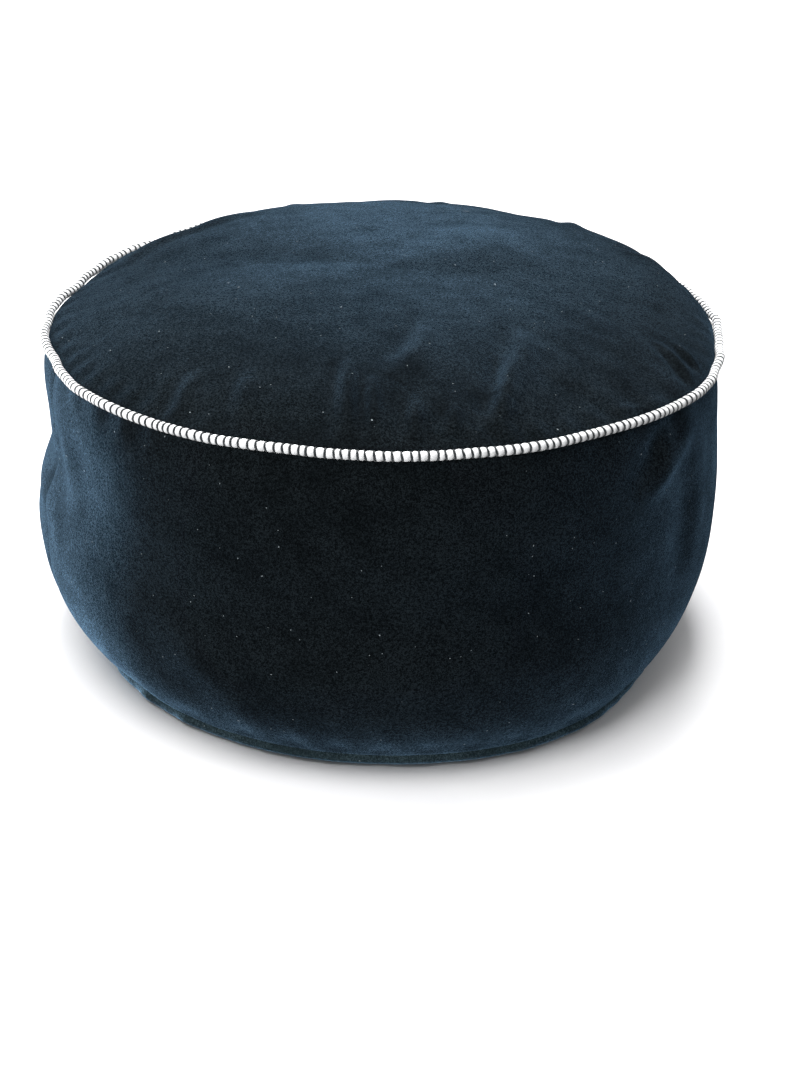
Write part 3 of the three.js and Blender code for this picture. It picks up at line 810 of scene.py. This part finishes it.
@dataclass
class Cover:
    """The velvet cover: top panel, two side bands and the base. Lengths are in metres."""

    shape: DrumShape
    palette: Palette
    rings: int = 44
    rows: int = 42
    frames: int = 20                 # frames that the cloth is simulated for
    largest_crease: float = 0.0026
    edge_reach: float = 0.0012       # how far the top panel's edge stands past the seam
    top_fold_radius: float = 0.24    # where the folds lie, which turns degrees into metres
    band_radius: float = 0.27
    band_length: float = 0.252
    hem_radius: float = 0.25

    def __post_init__(self) -> None:
        self.rim_angles = np.arange(AROUND) * 360 / AROUND

    def top_points(self) -> tuple[Array, list]:
        """Top panel's designed shape.

        Returns:
            Points, with those on the rim last, and faces.
        """
        angle, share, faces = ring_disc(self.rings, AROUND)
        rim_radius, _ = self.shape.rim(angle)
        height = self.shape.crown(angle, share)
        edge = np.clip((share - 0.93) / 0.07, 0, 1)
        gather = 0.0009 * np.sin(np.radians(angle) * 61 + 2 * np.sin(np.radians(angle) * 5))
        height = height + gather * edge * (1 - edge) * 4
        return polar(angle, (rim_radius + self.edge_reach * edge) * share, height + 0.0008 * edge), faces

    def side_points(self) -> Array:
        """Both side bands' designed shape, row by row from the top seam down."""
        down = np.linspace(0, 1, self.rows)
        angle, share = np.meshgrid(self.rim_angles, down)
        angle, share = angle.ravel(), share.ravel()
        radius, height = self.shape.side(angle, share)
        near_top = bump(share, 0.05) * np.clip(share * 40, 0, 1)
        near_base = bump(share - 1, 0.06) * np.clip((1 - share) * 40, 0, 1)
        a = np.radians(angle)
        radius = radius + near_top * 0.0011 * np.sin(a * 47 + 2 * np.sin(a * 3))
        radius = radius + near_base * 0.0016 * np.sin(a * 37 + 3 * np.sin(a * 4))
        for seam in (SEAM_ANGLE, SEAM_ANGLE + 180):
            away = np.radians(turn_from(angle, seam)) * self.band_radius
            radius = radius - 0.0016 * bump(away, 0.0035)
        return polar(angle, radius, height)

    def simulated(self, points: Array, faces: list, held: Array, fullness: Array) -> Array:
        """Press the filling against the cloth and keep the creases that form.

        Args:
            points: Designed shape.
            faces: Faces of the mesh.
            held: Indices of the sewn points, which stay.
            fullness: Spare cloth at each point, 0 to 1.

        Returns:
            The designed shape with the simulated creases on it.
        """
        cloth = new_piece("cloth_trial", points, faces, self.palette.velvet)
        sewn = cloth.vertex_groups.new(name="sewn")
        sewn.add([int(i) for i in held], 1.0, "REPLACE")
        spare = cloth.vertex_groups.new(name="spare")
        for i, weight in enumerate(fullness):
            spare.add([i], float(weight), "REPLACE")
        settings = cloth.modifiers.new("cloth", "CLOTH").settings
        for name, value in CLOTH.items():
            setattr(settings, name, value)
        settings.effector_weights.gravity = 0
        scene = bpy.context.scene
        for number in range(1, self.frames + 1):
            scene.frame_set(number)
        graph = bpy.context.evaluated_depsgraph_get()
        mesh = cloth.evaluated_get(graph).to_mesh()
        moved = np.empty(len(points) * 3)
        mesh.vertices.foreach_get("co", moved)
        edges = np.empty(len(mesh.edges) * 2, dtype=np.int64)
        mesh.edges.foreach_get("vertices", edges)
        edges = edges.reshape(-1, 2)
        drift = moved.reshape(-1, 3) - points
        bpy.data.objects.remove(cloth)
        scene.frame_set(1)
        creases = drift - averaged(drift, edges, 90)
        creases = averaged(creases, edges, 2)
        length = np.linalg.norm(creases, axis=1, keepdims=True)
        creases = 0.7 * creases * np.minimum(1, self.largest_crease / np.maximum(length, 1e-9))
        creases[held] = 0
        LOG.info("cloth: drift %.1f mm, creases %.2f mm", 1000 * np.abs(drift).max(), 1000 * length.max())
        return points + creases

    def crease_top(self, piece: Piece) -> None:
        """Lay the placed folds on the finished top panel."""
        points = read_points(piece)
        angle = np.degrees(np.arctan2(points[:, 1], points[:, 0]))
        share = np.linalg.norm(points[:, :2], axis=1) / (self.shape.rim(angle)[0] + self.edge_reach)
        clear = np.clip((1 - share) * 30, 0, 1) * (points[:, 2] > self.shape.rim_height - 0.012)
        for fold in TOP_FOLDS:
            points[:, 2] += fold.lift(angle, share, self.top_fold_radius, self.shape.rim_radius) * clear
        piece.data.vertices.foreach_set("co", points.ravel())

    def crease_side(self, piece: Piece) -> None:
        """Lay the placed folds on a finished side band."""
        points = read_points(piece)
        angle = np.degrees(np.arctan2(points[:, 1], points[:, 0]))
        _, top = self.shape.rim(angle)
        down = (top - points[:, 2]) / (top - self.shape.base_seam_height)
        clear = np.clip(down * 40, 0, 1) * np.clip((1 - down) * 30, 0, 1)
        reach = np.linalg.norm(points[:, :2], axis=1, keepdims=True)
        lift = clear * sum(fold.lift(angle, down, self.band_radius, self.band_length) for fold in SIDE_FOLDS)
        points[:, :2] *= 1 + lift[:, None] / reach
        piece.data.vertices.foreach_set("co", points.ravel())

    def build_top(self) -> None:
        """Make the crowned top panel with its turned-in edge."""
        points, faces = self.top_points()
        share = np.linalg.norm(points[:, :2], axis=1) / self.shape.rim_radius
        held = np.arange(len(points) - AROUND, len(points))
        fullness = np.clip((share - 0.45) / 0.5, 0, 1) ** 1.5
        points = self.simulated(points, faces, held, fullness)
        rim = points[held]
        rows = [points]
        for inward, drop in ((1.2, 1.6), (3.2, 4.2), (5.0, 8.0)):
            scale = 1 - inward * MM / self.shape.rim_radius
            row = rim * [scale, scale, 1]
            row[:, 2] -= drop * MM
            rows.append(row)
        faces = faces + grid_faces(4, AROUND, True, len(points) - AROUND)
        top = refined(new_piece("cover_top", np.concatenate(rows), faces, self.palette.top_velvet), 2)
        self.crease_top(top)
        declare(top, "velvet", "top_panel")

    def build_sides(self) -> None:
        """Make both side bands, parted at the two upright seams."""
        points = self.side_points()
        faces = grid_faces(self.rows, AROUND, True)
        held = np.concatenate([np.arange(AROUND), np.arange(AROUND) + AROUND * (self.rows - 1)])
        down = np.repeat(np.linspace(0, 1, self.rows), AROUND)
        fullness = np.maximum(bump(down, 0.16), bump(down - 1, 0.2))
        points = self.simulated(points, faces, held, 0.5 * fullness)
        grid = points.reshape(self.rows, AROUND, 3)
        edges = []
        for row, drops in ((grid[0], ((3.4, -3.5), (1.6, -0.6))), (grid[-1], ((1.6, 0.2), (4, 2)))):
            edges.append([])
            for inward, rise in drops:
                scale = 1 - inward * MM / self.hem_radius
                ring = row * [scale, scale, 1]
                ring[:, 2] += rise * MM
                edges[-1].append(ring)
        grid = np.stack([*edges[0], *grid, *edges[1]])
        seam = round(SEAM_ANGLE * AROUND / 360)
        halves = {
            Side.BACK: np.arange(seam, seam + AROUND // 2 + 1) % AROUND,
            Side.FRONT: np.arange(seam + AROUND // 2, seam + AROUND + 1) % AROUND,
        }
        for side, columns in halves.items():
            part = grid[:, columns]
            sheet = new_piece(f"cover_band_{side.value}", part.reshape(-1, 3),
                              grid_faces(len(part), len(columns), False), self.palette.velvet)
            self.crease_side(refined(sheet, 1))
            declare(sheet, "velvet", f"side_band_{side.value}")

    def build_base(self) -> None:
        """Make the base: its puckered edge, flat floor face and zip recess."""
        seam_radius, _ = self.shape.side(self.rim_angles, np.ones(AROUND))
        a = np.radians(self.rim_angles)
        pucker = 0.0013 * np.sin(23 * a + 3 * np.sin(5 * a)) + 0.0006 * np.sin(61 * a)
        rings = []
        for out, height, wave in BASE_ROLL:
            rings.append(polar(self.rim_angles, seam_radius + out * MM + wave * pucker,
                               np.full(AROUND, height * MM) + 0.6 * wave * pucker))
        for inward, height in ((0.0, 0.0002), (0.010, 0.0007)):
            flat = np.full(AROUND, self.shape.floor_radius - inward)
            rings.append(polar(self.rim_angles, flat, np.full(AROUND, height)))
        edge = np.concatenate(rings)
        faces = grid_faces(len(rings), AROUND, True)
        # Painted light: the rolled edge wears the lighter-painted velvet in place of floor bounce.
        base = new_piece("cover_base_edge", edge, faces, self.palette.base_velvet)
        declare(refined(base, 1), "base_velvet", "base_end_left", "base_end_right")
        self.build_floor_face()

    def build_floor_face(self) -> None:
        """Make the flat part of the base with the recess that the zip lies in."""
        depth, slope = 8.5, 15                    # of the recess, in millimetres
        half_length, half_width = 216, 35
        slot_length, slot_width = 0.185, 0.007    # half sizes of the gap over the coils
        xs = np.unique(np.concatenate([np.arange(-224, 225, 8), [-216, -208, -201, 201, 208, 216],
                                       [-185, 185]])) * MM
        recess = [-35, -31, -27, -23.5, -20, -14, -7, 7, 14, 20, 23.5, 27, 31, 35]
        ys = np.unique(np.concatenate([np.arange(-224, -39, 8), np.arange(40, 225, 8), recess])) * MM
        index, points, faces = {}, [], []

        def point(i: int, j: int) -> int:
            """Index of a grid point, which is made when it is first asked for."""
            if (i, j) not in index:
                x, y = xs[i], ys[j]
                over = math.hypot(x, y)
                pull = min(1.0, self.shape.floor_radius / over) if over > 0 else 1.0
                x, y = x * pull, y * pull
                ends, sides = half_length - abs(x) / MM, half_width - abs(y) / MM
                up = min(depth, depth * ends / slope, depth * sides / slope)
                index[i, j] = len(points)
                points.append((x, y, max(up, 0.2) * MM))
            return index[i, j]

        for i in range(len(xs) - 1):
            for j in range(len(ys) - 1):
                middle_x, middle_y = (xs[i] + xs[i + 1]) / 2, (ys[j] + ys[j + 1]) / 2
                in_slot = abs(middle_x) < slot_length and abs(middle_y) < slot_width
                if in_slot or math.hypot(middle_x, middle_y) > self.shape.floor_radius - 0.001:
                    continue
                faces.append((point(i, j), point(i, j + 1), point(i + 1, j + 1), point(i + 1, j)))
        # Painted light: the floor face also wears the lighter-painted base velvet.
        flat = new_piece("cover_base_face", np.array(points), faces, self.palette.base_velvet)
        cloth = flat.modifiers.new("cloth", "SOLIDIFY")
        cloth.thickness = 0.0012
        cloth.offset = -1
        bevel = flat.modifiers.new("folds", "BEVEL")
        bevel.width = 0.0006
        bevel.segments = 2
        declare(baked(flat), "base_velvet", "base_panel_front", "base_panel_back", "recess_wall_front",
                "recess_wall_back", "zip_facing_front", "zip_facing_back", "zip_end_tab_left",
                "zip_end_tab_right")

    def build(self) -> None:
        """Make the whole cover."""
        self.build_top()
        self.build_sides()
        self.build_base()


# ---- Cord -------------------------------------------------------------------------------
# The cord's girth between one thread turn and the next: share of the way, and share of its radius.
CORD_GIRTHS = ((0.0, 0.80), (0.11, 0.86), (0.25, 1.01), (0.5, 1.07), (0.75, 1.01), (0.89, 0.86))


@dataclass
class BoundCord:
    """White cord in the top seam, with dark thread wound round it."""

    shape: DrumShape
    palette: Palette
    repeater: Repeater
    turns: int = 287
    radius: float = 0.0034

    def middle(self, angle: Array) -> tuple[Array, Array]:
        """Middle line of the cord.

        Args:
            angle: Degrees from +X.

        Returns:
            Radius and height.
        """
        rim_radius, rim_height = self.shape.rim(angle)
        a = np.radians(angle)
        sway = 0.0005 * np.sin(23 * a + 1) + 0.0004 * np.sin(41 * a)
        return rim_radius + 0.0038 + sway, rim_height + 0.0025 + 0.7 * sway

    def turn_places(self) -> Array:
        """Angle of each thread turn, unevenly spaced."""
        steps = np.random.default_rng(SEED).uniform(0.84, 1.16, self.turns)
        return np.cumsum(steps) / steps.sum() * 360

    def build(self) -> None:
        """Make the cord, its lip and the thread."""
        places = self.turn_places()
        sections, girths = [], []
        gaps = np.diff(np.append(places, places[0] + 360))
        for place, gap in zip(places, gaps):
            for along, girth in CORD_GIRTHS:
                sections.append(place + along * gap)
                girths.append(girth)
        angle, girth = np.array(sections), np.array(girths)
        facets = 16
        middle_radius, middle_height = self.middle(angle)
        rings = []
        for k in range(facets):
            lean = 2 * math.pi * k / facets
            rings.append(polar(angle, middle_radius + self.radius * girth * math.cos(lean),
                               middle_height + self.radius * girth * math.sin(lean)))
        points = np.stack(rings, axis=1).reshape(-1, 3)
        cord = new_piece("bound_cord", points, tube_faces(len(angle), facets), self.palette.cord)
        declare(cord, "white_cord", "edge_cord")
        self.build_thread(places)
        self.build_lip()

    def build_thread(self, places: Array) -> None:
        """Wind the thread: one nearly closed turn at each place.

        Args:
            places: Angle of each turn, in degrees.
        """
        radius, height = self.middle(places)
        points = polar(places, radius, height)
        rng = np.random.default_rng(SEED + 1)
        slant = np.radians(rng.normal(9, 5, len(places)))
        turns = []
        for place, lean in zip(np.radians(places), slant):
            stand = Matrix.Rotation(place, 3, "Z") @ Matrix.Rotation(lean, 3, "X")
            turns.append(tuple(stand.to_euler()))
        thread = self.repeater.along("thread_turns", points, np.array(turns), self.one_turn(),
                                     self.palette.thread, 0.035)
        declare(thread, "binding_thread", "binding_thread")

    def one_turn(self) -> Piece:
        """A C-shaped turn in the XZ plane, open towards the seam."""
        steps, facets = 11, 5
        half_turn, tilt = 148, 30
        reach, thick, wide = 0.00334, 0.00040, 0.00088
        rings = []
        for i in range(steps):
            lean = math.radians(-half_turn + 2 * half_turn * i / (steps - 1)) + math.radians(tilt)
            out = np.array([math.cos(lean), 0, math.sin(lean)])
            for k in range(facets):
                around = 2 * math.pi * k / facets
                across = np.array([0, wide * math.sin(around), 0])
                rings.append(out * (reach + thick * math.cos(around)) + across)
        return new_piece("one_turn", np.array(rings), grid_faces(steps, facets, True), self.palette.thread)

    def build_lip(self) -> None:
        """Make the woven lip that runs from the cord into the seam."""
        angle = np.arange(AROUND) * 360 / AROUND
        radius, height = self.middle(angle)
        rows = [polar(angle, radius - inward * MM, height - drop * MM)
                for inward, drop in ((2.2, 3.6), (4.2, 5.6), (7.0, 8.6), (9.0, 11.4))]
        lip = new_piece("cord_lip", np.concatenate(rows), grid_faces(4, AROUND, True), self.palette.lip)
        thick = lip.modifiers.new("thick", "SOLIDIFY")
        thick.thickness = 0.0006
        declare(baked(lip), "lip_tape", "edge_cord_lip")


# ---- Zip --------------------------------------------------------------------------------
@dataclass
class ZipFastener:
    """Coil zip in the base."""

    palette: Palette
    repeater: Repeater
    pitch: float = 0.0015
    end_gap: float = 0.0006

    def build(self) -> None:
        """Make the coils' teeth and give the carried-over metal and tapes their finishes."""
        for side in Side:
            low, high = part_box(f"zip_coil_{side.value}")
            count = int((high[0] - low[0]) / self.pitch)
            points = np.tile([(a + b) / 2 for a, b in zip(low, high)], (count, 1))
            points[:, 0] = np.linspace(low[0] + self.end_gap, high[0] - self.end_gap, count)
            tooth = self.one_tooth((high[1] - low[1]) / 2, (high[2] - low[2]) / 2)
            teeth = self.repeater.along(f"coil_teeth_{side.value}", points, np.zeros((count, 3)),
                                        tooth, self.palette.coil, 0.01)
            declare(teeth, "zip_coil", f"zip_coil_{side.value}")
        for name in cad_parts:
            if name.startswith(("zip_tape", "zip_slider", "zip_pull", "zip_top", "zip_bottom")):
                finish = self.palette.tape if name.startswith("zip_tape") else self.palette.metal
                for material_slot in bpy.data.objects[name].material_slots:
                    material_slot.material = finish

    def one_tooth(self, half_width: float, half_height: float) -> Piece:
        """One flattened turn of the coil's wire.

        Args:
            half_width: Reach to either side.
            half_height: Reach up and down.

        Returns:
            The turn, as a piece to repeat.
        """
        steps, facets, wire = 10, 4, 0.00034
        points = []
        for i in range(steps):
            lean = 2 * math.pi * i / steps
            middle = np.array([0.0004 * math.sin(lean), (half_width - wire) * math.cos(lean),
                               (half_height - wire) * math.sin(lean)])
            out = np.array([0, math.cos(lean), math.sin(lean)])
            for k in range(facets):
                around = 2 * math.pi * k / facets
                points.append(middle + wire * (out * math.cos(around) + np.array([math.sin(around), 0, 0])))
        return new_piece("one_tooth", np.array(points), tube_faces(steps, facets), self.palette.coil)


# ---- Inside -----------------------------------------------------------------------------
@dataclass
class Inside:
    """Inner bag and the fibre in it."""

    shape: DrumShape
    palette: Palette
    base_radius: float = 0.222
    crown_end: float = 0.4    # share of the outline where the crown ends
    side_end: float = 0.8     # and where the side ends

    def skin(self, inset: float, bottom: float, start: float, end: float) -> tuple[Array, list]:
        """Shell a distance inside the cover, between two shares of its outline.

        Args:
            inset: Distance inside the cover.
            bottom: Height of the underside.
            start: Share where it begins, 0 at the crown's middle.
            end: Share where it ends, 1 at the underside's middle.

        Returns:
            Points and faces.
        """
        angle = np.arange(0, 360, 4.0)
        rows = []
        for share in np.linspace(start, end, 16):
            if share < self.crown_end:
                reach = np.full(len(angle), share / self.crown_end)
                radius = reach * (self.shape.rim_radius - inset - 0.002)
                height = self.shape.crown(angle, reach) - inset
            elif share < self.side_end:
                down = np.full(len(angle), (share - self.crown_end) / (self.side_end - self.crown_end))
                radius, height = self.shape.side(angle, down)
                radius = radius - inset - 0.004
                height = np.clip(height, bottom, None) - inset * (1 - down)
            else:
                reach = (1 - share) / (1 - self.side_end)
                radius = np.full(len(angle), reach * (self.base_radius - inset))
                height = np.full(len(angle), bottom)
            rows.append(polar(angle, np.maximum(radius, 0.0005), height))
        faces = grid_faces(len(rows), len(angle), True)
        if start == 0:
            faces.append(tuple(range(len(angle))))
        if end == 1:
            last = (len(rows) - 1) * len(angle)
            faces.append(tuple(last + c for c in reversed(range(len(angle)))))
        return np.concatenate(rows), faces

    def build(self) -> None:
        """Make the bag's three panels and the filling."""
        spans = {"inner_bag_top": (0, 0.46), "inner_bag_band": (0.46, 0.8), "inner_bag_base": (0.8, 1)}
        for name, (start, end) in spans.items():
            points, faces = self.skin(0.007, 0.0155, start, end)
            declare(new_piece(f"lining_{name}", points, faces, self.palette.lining), "bag_cloth", name)
        points, faces = self.skin(0.011, 0.018, 0, 1)
        filling = new_piece("filling", points, faces, self.palette.fibre)
        declare(filling, "fibre", "fibre_filling")


# ---- Studio -----------------------------------------------------------------------------
@dataclass(frozen=True)
class SoftLight:
    """A square light that faces the cushion: place and size in metres, power in watts."""

    place: tuple[float, float, float]
    size: float
    power: float


LIGHTS = {
    "back": SoftLight((0.2, 2.4, 2.3), 1.6, 66),
    "overhead": SoftLight((0.0, 0.7, 2.6), 1.2, 84),
    "left": SoftLight((-1.95, 1.45, 0.17), 0.5, 245),
    "fill": SoftLight((-1.5, -2.6, 1.2), 2.0, 104),
    "right": SoftLight((1.9, 1.5, 0.5), 0.5, 26),
    "floor_light": SoftLight((-1.0, -0.7, 4.0), 3.3, 215),
}


@dataclass
class Studio:
    """Floor, lights and camera. Angles are in degrees, lengths in metres."""

    elevation: float = 25.761
    yaw: float = 0.541
    pitch: float = -2.02
    roll: float = 0.411
    lens: float = 64.92              # millimetres on a sensor of sensor_width
    sensor_width: float = 36
    camera_back: float = 1.4569
    camera_height: float = 0.8389

    def build(self) -> None:
        """Make the whole studio."""
        self.build_camera()
        self.build_floor()
        self.build_world()
        self.build_lights()
        settings = bpy.context.scene.view_settings
        settings.view_transform = "Standard"
        settings.look = "None"

    def build_camera(self) -> None:
        """Stand the camera in front, a little above, tilted slightly."""
        elevation, yaw = math.radians(self.elevation), math.radians(self.yaw)
        pitch, roll = math.radians(self.pitch), math.radians(self.roll)
        right = Vector((1, 0, 0))
        forward = Vector((0, math.cos(elevation), -math.sin(elevation)))
        up = Vector((0, math.sin(elevation), math.cos(elevation)))
        tilted = forward * math.cos(pitch) + up * math.sin(pitch)
        raised = right.cross(tilted)
        aim = tilted * math.cos(yaw) + right * math.sin(yaw)
        across = aim.cross(raised)
        side = across * math.cos(roll) + raised * math.sin(roll)
        top = raised * math.cos(roll) - across * math.sin(roll)
        data = bpy.data.cameras.new("camera")
        data.lens = self.lens
        data.sensor_width = self.sensor_width
        camera = bpy.data.objects.new("camera", data)
        camera.matrix_world = Matrix((
            (side.x, top.x, -aim.x, 0.0),
            (side.y, top.y, -aim.y, -self.camera_back),
            (side.z, top.z, -aim.z, self.camera_height),
            (0, 0, 0, 1),
        ))
        bpy.context.scene.collection.objects.link(camera)
        bpy.context.scene.camera = camera

    def build_floor(self) -> None:
        """Lay a wide floor."""
        reach = 30.0
        points = np.array([(-reach, -reach, 0), (reach, -reach, 0), (reach, reach, 0), (-reach, reach, 0)])
        self.floor = new_piece("floor", points, [(0, 1, 2, 3)], paper_floor("floor"))

    def hang(self, name: str, look: SoftLight) -> Piece:
        """Hang a light.

        Args:
            name: Its name.
            look: Its place, size and power.

        Returns:
            The light.
        """
        data = bpy.data.lights.new(name, "AREA")
        data.size = look.size
        data.energy = look.power
        light = bpy.data.objects.new(name, data)
        light.location = look.place
        aim = Vector((0, 0, 0.15)) - Vector(look.place)
        light.rotation_euler = aim.to_track_quat("-Z", "Y").to_euler()
        bpy.context.scene.collection.objects.link(light)
        return light

    def build_world(self) -> None:
        """Light softly from all round, most from above, behind and the left."""
        world = bpy.data.worlds.new("studio")
        world.use_nodes = True
        backdrop = world.node_tree.nodes["Background"]
        nodes, links = world.node_tree.nodes, world.node_tree.links
        place, toward = nodes.new("ShaderNodeTexCoord"), nodes.new("ShaderNodeVectorMath")
        toward.operation = "DOT_PRODUCT"
        toward.inputs[1].default_value = (-0.45, 0.66, 0.60)
        strength = nodes.new("ShaderNodeMapRange")
        for number, value in enumerate((-1.0, 1.0, 0.06, 0.80), 1):
            strength.inputs[number].default_value = value
        links.new(place.outputs["Generated"], toward.inputs[0])
        links.new(toward.outputs["Value"], strength.inputs[0])
        links.new(strength.outputs[0], backdrop.inputs[1])
        backdrop.inputs[0].default_value = (1, 1, 1, 1)
        bpy.context.scene.world = world

    def build_lights(self) -> None:
        """Hang the lights and say what each of them falls on."""
        lights = {name: self.hang(name, look) for name, look in LIGHTS.items()}
        meshes = [piece for piece in bpy.context.scene.objects if piece.type == "MESH"]
        cushion = [piece for piece in meshes if piece is not self.floor]
        sides = [piece for piece in meshes if piece.name not in ("floor", "cover_top")]
        self.light_only(lights["floor_light"], [self.floor])
        for name, pieces in (("back", cushion), ("fill", cushion), ("left", sides), ("right", sides)):
            self.light_only(lights[name], pieces)
        self.floor.visible_diffuse = False

    def light_only(self, light: Piece, pieces: list) -> None:
        """Let a light fall on some pieces only.

        Args:
            light: The light.
            pieces: The pieces that it falls on.
        """
        receivers = bpy.data.collections.new(f"{light.name}_receivers")
        for piece in pieces:
            receivers.objects.link(piece)
        light.light_linking.receiver_collection = receivers


def main() -> None:
    """Build the cushion and the studio."""
    palette = Palette.make()
    shape = DrumShape()
    repeater = Repeater()
    Cover(shape, palette).build()
    BoundCord(shape, palette, repeater).build()
    ZipFastener(palette, repeater).build()
    Inside(shape, palette).build()
    Studio().build()


if __name__ == "__main__":
    main()
